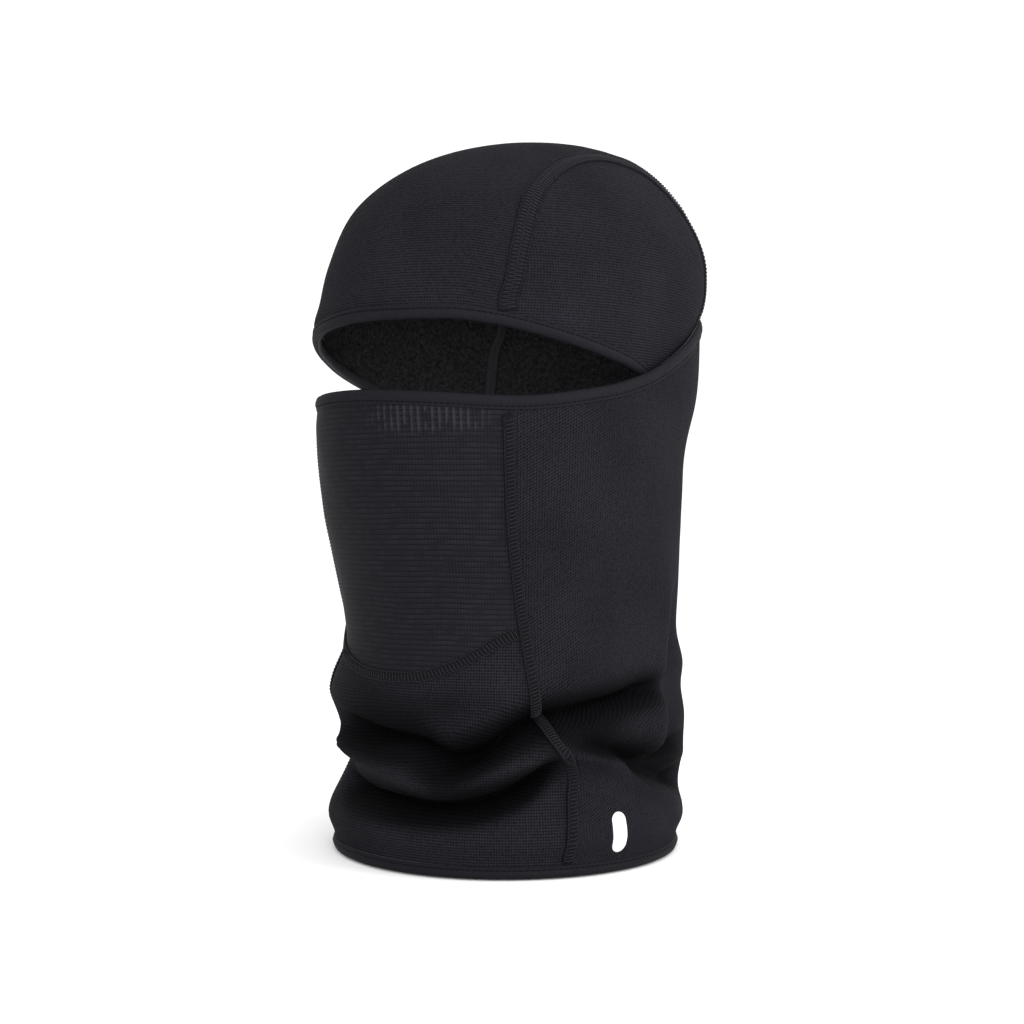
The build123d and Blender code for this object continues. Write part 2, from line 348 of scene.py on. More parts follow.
# ------------------------------------------------------------------ the hood's form
HOOD_TREE = tree_of(HOOD_NODES)
HOOD_FOOT = min(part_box(name)[0].z for name in HOOD_NODES) / MM
HEART = np.array([0.0, 1.0, 236.0])  # the middle of the head; the hood's face is measured from it
HOOD_TURNS = np.arange(-180, 181, 4.0)
HOOD_RISES = np.arange(-44, 93, 4.0)
DRAWN_IN = 0.985  # what is left of the hood's width, row by row, below its edge


def hood_table():
    """The distance of the hood's face from its heart, by turn and rise."""
    table = np.full((len(HOOD_RISES), len(HOOD_TURNS)), np.nan)
    for row, rise in enumerate(np.radians(HOOD_RISES)):
        for col, turn in enumerate(np.radians(HOOD_TURNS)):
            level = math.cos(rise)
            aim = Vector((math.sin(turn) * level, -math.cos(turn) * level, math.sin(rise)))
            start = Vector(HEART) * MM + aim * 0.25
            place = HOOD_TREE.ray_cast(start, -aim, 0.2)[0]
            if place is not None:
                table[row, col] = (place - Vector(HEART) * MM).length / MM
    for row in range(len(HOOD_RISES) - 2, -1, -1):  # below an edge the face carries on, drawing in
        widening = np.cos(np.radians(HOOD_RISES[row + 1])) / np.cos(np.radians(HOOD_RISES[row]))
        carried = table[row + 1] * widening * DRAWN_IN
        table[row] = np.where(np.isnan(table[row]), carried, table[row])
    for _ in range(4):
        table[1:-1] = (table[:-2] + 2 * table[1:-1] + table[2:]) / 4
    for _ in range(2):
        around = (table[:, :-1] * 2 + np.roll(table[:, :-1], 1, 1) + np.roll(table[:, :-1], -1, 1)) / 4
        table = np.concatenate([around, around[:, :1]], 1)
    return table


HOOD_TABLE = hood_table()


def bearings(offset):
    """The turn and the rise of each offset from the heart, in degrees."""
    turn = np.degrees(np.arctan2(offset[..., 0], -offset[..., 1]))
    return turn, np.degrees(np.arctan2(offset[..., 2], np.hypot(offset[..., 0], offset[..., 1])))


def hood_reach(offset):
    """The face's distance from the heart, in the direction of each offset from it."""
    turn, rise = bearings(offset)
    reach = looked_up(HOOD_TABLE, HOOD_RISES, HOOD_TURNS, rise, turn)
    flat = np.stack([turn * 1.4 * np.cos(np.radians(rise)), rise * 1.5, 0 * rise], -1)
    return reach + 0.7 * grain(flat, 40, 5.5) + 0.25 * grain(flat, 15, 2.2)


# half width of the middle panel at each y: over the brow, over the crown, at the back
STRIP = [(-110, 60), (-72, 57.5), (-6, 48.5), (64, 63), (110, 65)]


def crown(across, round_):
    """A point of the hood: across goes from seam (-1) to seam (1), round_ turns over the head."""
    across, round_ = np.broadcast_arrays(np.asarray(across, float), np.asarray(round_, float))
    turn = np.radians(round_)
    reach = np.full(across.shape, 90.0)
    for _ in range(7):
        back = -reach * np.cos(turn)
        x = across * through(HEART[1] + back, STRIP)
        offset = np.stack([x, back, reach * np.sin(turn)], -1)
        reach = np.sqrt(np.maximum(hood_reach(offset) ** 2 - x**2, 25))
    return HEART + np.stack([x, -reach * np.cos(turn), reach * np.sin(turn)], -1)


def flank(side, back, height):
    """A point on the side of the hood, by its place in side view."""
    x = np.full(np.shape(back), 70.0)
    for _ in range(7):
        offset = np.stack([side * x, back - HEART[1], height - HEART[2]], -1)
        rest = (back - HEART[1]) ** 2 + (height - HEART[2]) ** 2
        x = np.sqrt(np.maximum(hood_reach(offset) ** 2 - rest, 25))
    return np.stack([side * x, back, height], -1)


# edge of the face opening in side view: (y, height) from straight ahead, past the temple to the ear
OPENING = [
    (-104, 231), (-84, 230.5), (-70, 227.8), (-40, 220.5), (-12, 213.5), (0, 208.5), (9, 200),
    (14.5, 188), (19, 170),
]


# ------------------------------------------------------------------ making meshes
def mesh_piece(name, points, faces, uvs=None, kinds=None, weld=True, shade=None):
    """A smooth-shaded piece from points in millimetres.

    uvs and shade have one entry per point, kinds one per face.
    """
    mesh = bpy.data.meshes.new(name)
    mesh.from_pydata((np.asarray(points) * MM).tolist(), [], [list(map(int, f)) for f in faces])
    if uvs is not None:
        corner = np.zeros(len(mesh.loops), int)
        mesh.loops.foreach_get("vertex_index", corner)
        layer = mesh.uv_layers.new(name="UVMap")
        layer.data.foreach_set("uv", (np.asarray(uvs)[corner] * MM).ravel())
    if shade is not None:
        values = mesh.attributes.new("shade", "FLOAT", "POINT").data
        values.foreach_set("value", np.asarray(shade, np.float32))
    if kinds is not None:
        mesh.polygons.foreach_set("material_index", np.asarray(kinds, np.int32))
    mesh.polygons.foreach_set("use_smooth", [True] * len(mesh.polygons))
    piece = bpy.data.objects.new(name, mesh)
    bpy.context.scene.collection.objects.link(piece)
    if weld:
        bpy.ops.object.select_all(action="DESELECT")
        piece.select_set(True)
        bpy.context.view_layer.objects.active = piece
        bpy.ops.object.mode_set(mode="EDIT")
        bpy.ops.mesh.select_all(action="SELECT")
        bpy.ops.mesh.remove_doubles(threshold=0.00002)
        bpy.ops.mesh.normals_make_consistent(inside=False)
        bpy.ops.object.mode_set(mode="OBJECT")
        piece.select_set(False)
    return piece


def quads(rows, cols, wrap_rows=False, wrap_cols=False):
    """The faces of a grid of points numbered row by row."""
    i = np.arange(rows if wrap_rows else rows - 1)
    j = np.arange(cols if wrap_cols else cols - 1)
    i, j = (part.ravel() for part in np.meshgrid(i, j, indexing="ij"))
    down, over = (i + 1) % rows, (j + 1) % cols
    return np.stack([i * cols + j, i * cols + over, down * cols + over, down * cols + j], -1)


def run_length(points, axis):
    """Distance along a grid of points, from its first row or column."""
    steps = np.linalg.norm(np.diff(points, axis=axis), axis=-1)
    start = np.zeros_like(np.take(steps, [0], axis=axis))
    return np.cumsum(np.concatenate([start, steps], axis=axis), axis=axis)


def evened(points, times=2):
    """The grid with its inner points eased towards their neighbours."""
    points = points.copy()
    for _ in range(times):
        middle = points[1:-1, 1:-1]
        ring = points[:-2, 1:-1] + points[2:, 1:-1] + points[1:-1, :-2] + points[1:-1, 2:]
        points[1:-1, 1:-1] = middle * 0.5 + ring * 0.125
    return points


def normals_of(points):
    """Unit vectors square to a grid of points, facing away from the middle of the object."""
    down = np.gradient(points, axis=0)
    over = np.gradient(points, axis=1)
    normal = np.cross(down, over)
    length = np.linalg.norm(normal, axis=-1, keepdims=True)
    normal = normal / np.maximum(length, 1e-6)
    outward = points - MIDDLE
    flip = np.sign((normal * outward).sum(-1, keepdims=True).mean())
    return normal * flip


def cloth(name, points, thick=CLOTH, uvs=None, shade=None):
    """A closed sheet of cloth from the grid of its outer face; the inner face gets material two."""
    rows, cols = points.shape[:2]
    normal = normals_of(points)
    inner = points - normal * thick
    if uvs is None:
        uvs = np.stack([run_length(points, 1), run_length(points, 0)], -1)
    count = rows * cols
    outside = quads(rows, cols)
    edge = (
        [(0, j) for j in range(cols)]
        + [(i, cols - 1) for i in range(1, rows)]
        + [(rows - 1, j) for j in range(cols - 2, -1, -1)]
        + [(i, 0) for i in range(rows - 2, 0, -1)]
    )
    ids = [i * cols + j for i, j in edge]
    border = [[a, b, b + count, a + count] for a, b in zip(ids, ids[1:] + ids[:1])]
    faces = list(outside) + list(outside[:, ::-1] + count) + border
    kinds = [0] * len(outside) + [1] * len(outside) + [0] * len(border)
    both = np.concatenate([points.reshape(-1, 3), inner.reshape(-1, 3)])
    if shade is not None:
        shade = np.concatenate([shade.ravel()] * 2)
    return mesh_piece(name, both, faces, np.concatenate([uvs.reshape(-1, 2)] * 2), kinds, shade=shade)


def swept(name, spine, out, across, profile, closed=False, second_from=None):
    """A strip along a spine; profile is (across, out) steps round its section.

    From step second_from of the profile on, the faces get the second material.
    """
    profile = np.array(profile, float)
    points = (
        spine[:, None]
        + across[:, None] * profile[None, :, :1]
        + out[:, None] * profile[None, :, 1:]
    )
    rows, cols = points.shape[:2]
    faces = [list(f) for f in quads(rows, cols, closed, True)]
    if not closed:
        faces += [list(range(cols))[::-1], [(rows - 1) * cols + j for j in range(cols)]]
    length = run_length(points[:, :1], 0)
    round_ = run_length(points[:1], 1)
    uvs = np.stack(np.broadcast_arrays(length, round_), -1)
    kinds = None
    if second_from is not None:
        kinds = [int(k < rows * cols and k % cols >= second_from) for k in range(len(faces))]
    return mesh_piece(name, points.reshape(-1, 3), faces, uvs.reshape(-1, 2), kinds)


def threads(name, lines, thick=THREAD, sides=5):
    """Many short threads as one piece; lines holds (threads, points, 3), all with as many points."""
    lines = np.asarray(lines, float)
    along = np.gradient(lines, axis=1)
    along /= np.maximum(np.linalg.norm(along, axis=-1, keepdims=True), 1e-9)
    up = np.array([0.31, 0.22, 0.92])
    right = np.cross(along, up)
    right /= np.linalg.norm(right, axis=-1, keepdims=True)
    over = np.cross(right, along)
    angle = np.arange(sides) * 2 * math.pi / sides
    ring = right[:, :, None] * np.cos(angle)[:, None] + over[:, :, None] * np.sin(angle)[:, None]
    width = np.full(lines.shape[1], thick / 2)
    width[[0, -1]] *= 0.55
    points = lines[:, :, None] + ring * width[:, None, None]
    count, steps = lines.shape[:2]
    one = [list(f) for f in quads(steps, sides, False, True)]
    one += [list(range(sides))[::-1], [(steps - 1) * sides + k for k in range(sides)]]
    faces = [[v + n * steps * sides for v in face] for n in range(count) for face in one]
    return mesh_piece(name, points.reshape(-1, 3), faces, weld=False)


def joined(name, pieces):
    """Several pieces made into one."""
    bpy.ops.object.select_all(action="DESELECT")
    for piece in pieces:
        piece.select_set(True)
    bpy.context.view_layer.objects.active = pieces[0]
    bpy.ops.object.join()
    pieces[0].name = name
    pieces[0].select_set(False)
    return pieces[0]


def spaced(points, step, closed=False):
    """The line again with even steps of about step."""
    points = np.asarray(points, float)
    if closed:
        points = np.concatenate([points, points[:1]])
    along = np.concatenate([[0], np.cumsum(np.linalg.norm(np.diff(points, axis=0), axis=1))])
    count = max(3, round(along[-1] / step)) + (0 if closed else 1)
    at = np.linspace(0, along[-1], count, endpoint=not closed)
    return np.stack([np.interp(at, along, points[:, k]) for k in range(points.shape[1])], 1)


def framed(points, outs, step=1.2, closed=False):
    """A spine with even steps: its points, outward directions and sideways directions."""
    both = spaced(np.concatenate([points, outs], 1), step, closed)
    spine, out = both[:, :3], both[:, 3:]
    if closed:
        along = np.roll(spine, -1, 0) - np.roll(spine, 1, 0)
    else:
        along = np.gradient(spine, axis=0)
    along /= np.linalg.norm(along, axis=1, keepdims=True)
    across = np.cross(along, out)
    across /= np.linalg.norm(across, axis=1, keepdims=True)
    return spine, np.cross(across, along), across


def on_tube(turns, heights, closed=False):
    """A spine over the tube's face through many (turn, height) places."""
    return framed(tube(turns, heights), square_to(tube, turns, heights), closed=closed)


def beside(line, where, side, lift):
    """Points near a spine: where along it, side across it and lift off it, all in millimetres."""
    spine, out, across = line
    pace = np.linalg.norm(spine[1] - spine[0])
    index = np.arange(len(spine)) * pace
    where, side, lift = np.broadcast_arrays(*(np.asarray(v, float) for v in (where, side, lift)))

    def pick(grid):
        return np.stack([np.interp(where, index, grid[:, k]) for k in range(3)], -1)

    return pick(spine) + pick(across) * side[..., None] + pick(out) * lift[..., None]


def length_of(line):
    return np.linalg.norm(line[0][1] - line[0][0]) * (len(line[0]) - 1)


ARC = np.array([-0.1, 0.22, 0.3, 0.22, -0.1])  # a stitch dips into the cloth at both ends


def flatlock(name, line, width, lift, slant=0.7):
    """Rungs across a seam, with a row of short stitches down each edge."""
    starts = np.arange(1.0, length_of(line) - 1.5, STITCH)[:, None]
    over = np.linspace(-0.5, 0.5, 5)
    rungs = beside(line, starts + slant * over, width * over, lift + ARC)
    rows = [rungs]
    for side in (-width / 2, width / 2):
        rows.append(beside(line, starts + STITCH * 0.82 * (over + 0.5), side, lift * 0.7 + ARC))
    return threads(name, np.concatenate(rows))


def coverstitch(name, line, width, lift):
    """A wide zigzag with a straight row at each side and one down the middle."""
    starts = np.arange(1.0, length_of(line) - 2.5, STITCH)[:, None]
    over = np.linspace(-0.5, 0.5, 5)
    rows = [
        beside(line, starts + STITCH * 0.5 * (over + 0.5), width * over, lift + ARC),
        beside(line, starts + STITCH * (1 - 0.5 * (over + 0.5)), width * over, lift + ARC),
    ]
    for side in (-width / 2, 0, width / 2):
        rows.append(beside(line, starts + STITCH * 0.8 * (over + 0.5), side, lift + 0.1 + ARC))
    return threads(name, np.concatenate(rows), thick=THREAD * 0.85)


def topstitch(name, line, side, lift, pitch=2.4):
    """One row of stitches along a line."""
    starts = np.arange(0.5, length_of(line) - pitch, pitch)[:, None]
    over = np.linspace(0, 1, 5)
    return threads(name, beside(line, starts + pitch * 0.72 * over, side, lift + ARC), thick=0.36)


def bound(name, line, wide, closed=False):
    """A folded tape over the edge that a spine follows; across points into the cloth."""
    thick, inner = TAPE_THICK, -CLOTH
    # the section runs over the outside, round the folded edge and back along the inside
    section = [
        (wide, -0.1), (wide - 0.3, thick * 0.6), (wide - 0.9, thick * 0.8), (wide - 1.4, thick * 0.35),
        (wide - 2.0, thick * 0.95), (wide * 0.4, thick * 1.25), (0.7, thick), (-0.5, 0.45 * thick),
        (-1.15, inner / 2), (-0.5, inner - 0.45 * thick), (0.7, inner - thick),
        (wide * 0.4, inner - thick * 1.1), (wide - 0.35, inner - thick * 0.7), (wide, inner - 0.05),
    ]
    tape = swept(name, *line, section, closed, second_from=section.index((-1.15, inner / 2)))
    loops = line if not closed else tuple(np.concatenate([part, part[:1]]) for part in line)
    thread = topstitch(name + "_thread", loops, wide - 1.4, thick * 0.4)
    return tape, thread


def flange(name, line, width, height):
    """The raised strip that a seam makes of the two cloths under it."""
    half = width / 2
    section = [
        (-half, -0.25), (-half * 0.96, height * 0.55), (-half * 0.7, height),
        (-half * 0.25, height * 0.9), (half * 0.25, height * 0.9),
        (half * 0.7, height), (half * 0.96, height * 0.55), (half, -0.25),
    ]
    return swept(name, *line, section)


# ------------------------------------------------------------------ the tube's panels
# turn of the front seams at each height, and height of the sagging seam under the mask at each turn
FRONT_SEAM = [
    (0, 57), (30, 58.5), (46, 58.5), (57, 54), (68, 49.5), (100, 44.5), (130, 41.5), (200, 39.3),
    (262, 38),
]
CHIN_SEAM = [
    (-46, 101), (-30, 92), (-14, 85), (2, 82.3), (18, 84.5), (29, 91.5), (38, 99), (46, 102),
]


def front_seam_at(height):
    return through(height, FRONT_SEAM)


FULL_CREASE = 9.0  # a crease this deep gets the full painted shade
FOLDED_LENGTH = 1.15  # length of the folded cloth to its height


def tube_panel(name, start, end, foot, head):
    """A panel of the tube between two turns and two heights, each a function of where it is."""
    span = abs(end(100.0) - start(100.0)) * GIRTH_STEP
    rise = (head(end(100.0)) - foot(start(100.0))) * FOLDED_LENGTH
    cols, rows = (int(size / GRID) + 2 for size in (span, rise))
    down, over = np.meshgrid(np.linspace(0, 1, rows), np.linspace(0, 1, cols), indexing="ij")
    height = np.full(down.shape, 100.0)
    for _ in range(6):
        turn = start(height) + (end(height) - start(height)) * over
        height = foot(turn) + (head(turn) - foot(turn)) * down
    uvs = np.stack([turn * WEAVE_STEP, height], -1)  # the weave lies level
    # painted shade: 0 to 1 by crease depth, kept as the shade attribute that darkens the colour
    painted_crease_shade = smooth(crease_depth(turn, height) / FULL_CREASE)
    return cloth(name, evened(tube(turn, height), 1), uvs=uvs, shade=painted_crease_shade)


def level(value):
    return lambda _: value + 0 * np.asarray(_, float)


def under_rim(turn):
    return rim(turn) - 0.2


def chin(turn):
    return through(turn, CHIN_SEAM)


def right_seam(height):
    return -front_seam_at(height)


mask = tube_panel("mask_panel_cloth", right_seam, front_seam_at, chin, under_rim)
chin_panel = tube_panel("chin_panel_cloth", right_seam, front_seam_at, level(HEM_LOW), chin)
side_panels = {
    "left": tube_panel("side_panel_left", front_seam_at, level(180.0), level(HEM_LOW), under_rim),
    "right": tube_panel("side_panel_right", level(-180.0), right_seam, level(HEM_LOW), under_rim),
}

# ------------------------------------------------------------------ the tube's edges and seams
full_turn = np.arange(-180, 180, 1.0)
rim_line = on_tube(full_turn, rim(full_turn), closed=True)
rim_tape, rim_thread = bound("rim_tape", rim_line, RIM_TAPE_WIDTH, closed=True)
hem_line = on_tube(-full_turn, np.full(full_turn.shape, TAPE_THICK + 0.2), closed=True)
hem_tape, hem_thread = bound("hem_tape", hem_line, HEM_TAPE_WIDTH, closed=True)

front_seams, front_threads = {}, {}
for side, sign in SIDES.items():
    heights = np.arange(SEAM_MARGIN, rim(39.0) - SEAM_MARGIN, 0.8)
    line = on_tube(sign * front_seam_at(heights), heights)
    front_seams[side] = flange(f"front_seam_{side}_flange", line, TUBE_SEAM_WIDTH, 1.1)
    front_threads[side] = flatlock(f"front_seam_{side}_thread", line, TUBE_SEAM_WIDTH * 0.8, 1.1)

chin_turns = np.arange(-43.0, 43.1, 0.6)
chin_line = on_tube(chin_turns, chin(chin_turns))
chin_strip = flange("chin_seam_flange", chin_line, TUBE_SEAM_WIDTH * 0.9, 0.7)
chin_thread = flatlock("chin_seam_thread", chin_line, TUBE_SEAM_WIDTH * 0.82, 0.75)

back_heights = np.arange(SEAM_MARGIN, rim(180.0) - SEAM_MARGIN, 0.8)
back_line = on_tube(np.full(back_heights.shape, 180.0), back_heights)
back_strip = flange("back_seam_flange", back_line, TUBE_SEAM_WIDTH, 0.9)
back_thread = flatlock("back_seam_thread", back_line, TUBE_SEAM_WIDTH * 0.8, 0.9)

# ------------------------------------------------------------------ the hood
NAPE_HEIGHT = HOOD_FOOT - 3
OPENING_YS, OPENING_ZS = np.array(OPENING, float).T


def hood_out(points):
    """Outward directions of the hood's face at points on it."""
    turn, rise = bearings(points - HEART)
    rise = np.clip(rise, -44, 87)

    def face(turn, rise):
        t, r = np.radians(turn), np.radians(rise)
        aim = np.stack([np.sin(t) * np.cos(r), -np.cos(t) * np.cos(r), np.sin(r)], -1)
        return HEART + aim * hood_reach(aim)[..., None]

    return square_to(face, turn, rise, 1.5)


def crown_edges(across):
    """The turns over the head at which the middle panel starts and ends."""
    back = np.full(np.shape(across), -98.0)
    for _ in range(6):
        height = np.interp(back, OPENING_YS, OPENING_ZS)
        begin = np.degrees(np.arctan2(height - HEART[2], HEART[1] - back))
        back = crown(across, begin)[..., 1]
    end = np.full(np.shape(across), 215.0)
    for _ in range(6):
        nape = crown(across, end)
        end = 180 + np.degrees(np.arctan2(HEART[2] - NAPE_HEIGHT, nape[..., 1] - HEART[1]))
    return begin, end


def crown_panel():
    over, down = np.meshgrid(np.linspace(-1, 1, 54), np.linspace(0, 1, 165), indexing="xy")
    begin, end = crown_edges(over[0])
    return cloth("crown_panel_cloth", evened(crown(over, begin + (end - begin) * down), 3))


FLANK_COLUMNS, FLANK_ROWS = 130, 48  # the mesh over a side panel of the hood


def hood_flank(side):
    """A side panel: a lens between the seam and the edge of the opening with the foot after it."""
    sign = SIDES[side]
    begin, end = (float(edge[0]) for edge in crown_edges(np.array([float(sign)])))
    seam = crown(sign * np.ones(FLANK_COLUMNS), np.linspace(begin, end, FLANK_COLUMNS))[:, 1:]
    first, last = seam[0], seam[-1]
    after = OPENING_YS > first[0]
    edge = np.stack([OPENING_YS[after], OPENING_ZS[after]], 1)
    base = spaced(np.array([first, *edge, (OPENING_YS[-1], NAPE_HEIGHT), last]), 1.0)
    pick = np.linspace(0, len(base) - 1, FLANK_COLUMNS)
    base = np.stack([np.interp(pick, np.arange(len(base)), base[:, k]) for k in range(2)], 1)
    t = np.linspace(0, 1, FLANK_ROWS)[:, None, None]
    flat = seam[None] * (1 - t) + base[None] * t
    points = flank(sign, flat[..., 0], flat[..., 1])
    return cloth(f"hood_side_{side}_cloth", evened(points, 2), uvs=flat)


hood_crown = crown_panel()
hood_flanks = {side: hood_flank(side) for side in SIDES}
hood_seams, hood_threads = {}, {}
for side, sign in SIDES.items():
    begin, end = (float(edge[0]) for edge in crown_edges(np.array([float(sign)])))
    round_ = np.linspace(begin + 4.5, end, 500)
    places = crown(sign * np.ones(500), round_)
    line = framed(places, hood_out(places))
    inside = (line[0] - line[1] * CLOTH, -line[1], -line[2])
    strips = [
        flange(f"hood_seam_{side}_flange", line, HOOD_SEAM_WIDTH, 0.4),
        flange(f"hood_seam_{side}_inside", inside, HOOD_SEAM_WIDTH * 0.7, 1.7),
    ]
    outer_faces = len(strips[0].data.polygons)
    hood_seams[side] = joined(f"hood_seam_{side}_flange", strips)
    hood_seams[side]["outer_faces"] = outer_faces
    hood_threads[side] = coverstitch(f"hood_seam_{side}_thread", line, HOOD_SEAM_WIDTH * 0.86, 0.3)


def opening_line():
    """The edge of the face opening, from the wearer's right ear over the brow to the left ear."""
    middle = np.linspace(-0.78, 0.78, 150)
    brow = crown(middle, crown_edges(middle)[0])
    meet = brow[-1, 1]
    ys = np.concatenate([[meet], OPENING_YS[OPENING_YS > meet + 1]])
    side_view = spaced(np.stack([ys, np.interp(ys, OPENING_YS, OPENING_ZS)], 1), 1.0)
    cheeks = {sign: flank(sign, side_view[1:, 0], side_view[1:, 1]) for sign in (1, -1)}
    points = np.concatenate([cheeks[-1][::-1], brow, cheeks[1]])
    for _ in range(12):
        points[1:-1] = (points[:-2] + 2 * points[1:-1] + points[2:]) / 4
    return framed(points, hood_out(points))


spine, out, across = opening_line()
if across[len(across) // 2, 2] < 0:
    across = -across
for _ in range(30):
    across[1:-1] = (across[:-2] + 2 * across[1:-1] + across[2:]) / 4
across /= np.linalg.norm(across, axis=1, keepdims=True)
face_tape, face_thread = bound("face_tape", (spine, out, across), FACE_TAPE_WIDTH)


# the hood leans back to the wearer's left: how far its face moves at each height
LEAN = [(236, 0), (246, 2.4), (262, 3.4), (292, 2.6), (305, 5.2), (318, 10.5)]
LEAN_WAY = np.array([0.76, 0.65, 0.0])


def settled(points):
    """The hood as it sits: leaning, with its right side pulled down and its left side full."""
    x, height = points[:, 0], points[:, 2]
    lift = 0.072 * np.minimum(x, 0) * smooth((height - 185) / 25)
    lift += 0.05 * np.maximum(x, 0) * smooth((height - 255) / 50)
    lift += 1.2 * smooth((height - 290) / 28)
    return points + LEAN_WAY * through(height, LEAN)[:, None] + np.array([0, 0, 1.0]) * lift[:, None]


hood_sheets = (hood_crown, *hood_flanks.values())
hood_trim = (face_tape, face_thread, *hood_seams.values(), *hood_threads.values())
for piece in (*hood_sheets, *hood_trim):
    places = np.zeros(3 * len(piece.data.vertices))
    piece.data.vertices.foreach_get("co", places)
    places = settled(places.reshape(-1, 3) / MM) * MM
    piece.data.vertices.foreach_set("co", places.ravel())
    piece.data.update()


# ------------------------------------------------------------------ the neck of the hood
NECK_FRONT_TOP = 112.0
NECK_CLEARANCE = 4.2  # from the tube's outer face to the neck's, clear of both cloths


def hood_neck():
    """The soft neck inside the tube, drawn in where the tube's gathers press on it."""
    heights = np.arange(24, 168, 4.0)
    table = radii(tree_of(["hood_neck"]), TUBE_TURNS, heights)
    fine = np.arange(-180, 180.1, 2.5)
    turn, down = np.meshgrid(fine, np.linspace(0, 1, 70), indexing="xy")
    top = NECK_FRONT_TOP + (HOOD_FOOT + 2 - NECK_FRONT_TOP) * smooth((np.abs(turn) - 78) / 26)
    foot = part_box("join_seam")[0].z / MM
    height = foot + (top - foot) * down
    reach = looked_up(table, heights, TUBE_TURNS, height, turn)
    spare = np.full(height.shape, 200.0)
    for away in (-9, -6, -3, 0, 3, 6, 9):
        around = tube(turn, np.maximum(height + away, HEM_LOW))
        spare = np.minimum(spare, np.hypot(around[..., 0], around[..., 1]) - NECK_CLEARANCE)
    reach = np.minimum(reach, spare)
    for _ in range(6):
        reach[1:-1] = np.minimum(reach[1:-1], (reach[:-2] + 2 * reach[1:-1] + reach[2:]) / 4)
    flat = np.stack([turn * 1.3, height, 0 * turn], -1)
    reach += 1.2 * grain(flat, 26, 9.0) * smooth((height - foot) / 20)
    angle = np.radians(turn)
    points = np.stack([reach * np.sin(angle), -reach * np.cos(angle), height], -1)
    return cloth("hood_neck_cloth", points)


neck = hood_neck()


def join_ring():
    """The seam that holds the hood's neck in the collar."""
    low, high = (corner.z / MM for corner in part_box("join_seam"))
    turns = np.arange(-180, 180, 2.0)
    outward = square_to(tube, turns, np.full(turns.shape, 20.0))
    points = tube(turns, np.full(turns.shape, (low + high) / 2)) - outward * (CLOTH + 0.3)
    line = framed(points, outward, closed=True)
    half = (high - low) / 2
    section = [(-half, 0.3), (half, 0.3), (half * 0.8, -2.6), (0, -3.2), (-half * 0.8, -2.6)]
    return swept("join_seam_ring", *line, section, True)


join = join_ring()


# ------------------------------------------------------------------ the reflective tab
TAB_WIDTH = 7.0
TAB_THICK = 0.4
TAB_LEAN = -0.02  # sideways for each millimetre up, as the seam beside it leans
TAB_STEP = 1.40  # millimetres of collar to one degree of turn here
# rings of the bar: how much of its outline each takes, and how far it lifts, in thicknesses
TAB_RINGS = ((0.02, 1), (0.25, 1), (0.5, 1), (0.75, 1), (0.93, 1), (1, 0.6), (1, -0.8))


def resting(points, cloth_tree, lift):
    """Points in millimetres brought on to a mesh and lifted off it."""
    placed = []
    for point in points:
        place, normal = cloth_tree.find_nearest(Vector(point) * MM)[:2]
        placed.append(np.array(place + normal * lift * MM) / MM)
    return np.array(placed)


def reflective_tab():
    """A slim bar of reflective film with round ends, standing on the collar."""
    panel = side_panels["left"].data
    corners, faces = [v.co for v in panel.vertices], [f.vertices for f in panel.polygons]
    collar_cloth = BVHTree.FromPolygons(corners, faces)
    low, high = (np.array(corner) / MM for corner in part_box("reflective_tab"))
    middle = (low + high) / 2
    turn = math.degrees(math.atan2(middle[0], -middle[1]))
    radius = TAB_WIDTH / 2
    straight = (high[2] - low[2]) / 2 - radius
    turns = np.radians(np.linspace(0, 180, 24))
    cap = radius * np.stack([np.cos(turns), np.sin(turns)], 1)
    outline = spaced(np.concatenate([cap + [0, straight], -cap - [0, straight]]), 0.6, closed=True)
    across, along = outline.T
    rings = []
    for share, lift in TAB_RINGS:
        turns = turn + share * (across + TAB_LEAN * along) / TAB_STEP
        rings.append(resting(tube(turns, middle[2] + share * along), collar_cloth, lift * TAB_THICK))
    points = np.concatenate(rings)
    count = len(outline)
    faces = [list(f) for f in quads(len(rings), count, False, True)]
    faces.append(list(range(count))[::-1])
    last = (len(rings) - 1) * count
    faces.append([last + k for k in range(count)])
    return mesh_piece("reflective_tab_film", points, faces)


tab = reflective_tab()


# ------------------------------------------------------------------ materials
def new_node(tree, kind, **values):
    """A shader node with its properties and unlinked sockets set."""
    made = tree.nodes.new(kind)
    for key, value in values.items():
        if hasattr(made, key):
            setattr(made, key, value)
        else:
            made.inputs[key.replace("_", " ")].default_value = value
    return made


def maths(tree, operation, first, second=None):
    """One step of arithmetic; each value is a socket or a number."""
    step = tree.nodes.new("ShaderNodeMath")
    step.operation = operation
    for place, value in zip(step.inputs, (first, second)):
        if value is None:
            continue
        if isinstance(value, (int, float)):
            place.default_value = value
        else:
            tree.links.new(value, place)
    return step.outputs[0]


def times(tree, first, second):
    return maths(tree, "MULTIPLY", first, second)


def plus(tree, first, second):
    return maths(tree, "ADD", first, second)


def minus(tree, first, second):
    return maths(tree, "SUBTRACT", first, second)


def group(name, inputs, outputs):
    """An empty node group with its sockets."""
    tree = bpy.data.node_groups.new(name, "ShaderNodeTree")
    for label, kind, value in inputs:
        socket = tree.interface.new_socket(label, in_out="INPUT", socket_type=kind)
        if value is not None:
            socket.default_value = value
    for label, kind in outputs:
        tree.interface.new_socket(label, in_out="OUTPUT", socket_type=kind)
    return tree, tree.nodes.new("NodeGroupInput"), tree.nodes.new("NodeGroupOutput")


def ribbed(tree, place, pitch, share):
    """1 in narrow lines that come round at a pitch along a coordinate, 0 between them."""
    turns = maths(tree, "DIVIDE", place, pitch)
    wave = maths(tree, "SINE", times(tree, turns, 2 * math.pi))
    return maths(tree, "POWER", plus(tree, times(tree, wave, 0.5), 0.5), share)


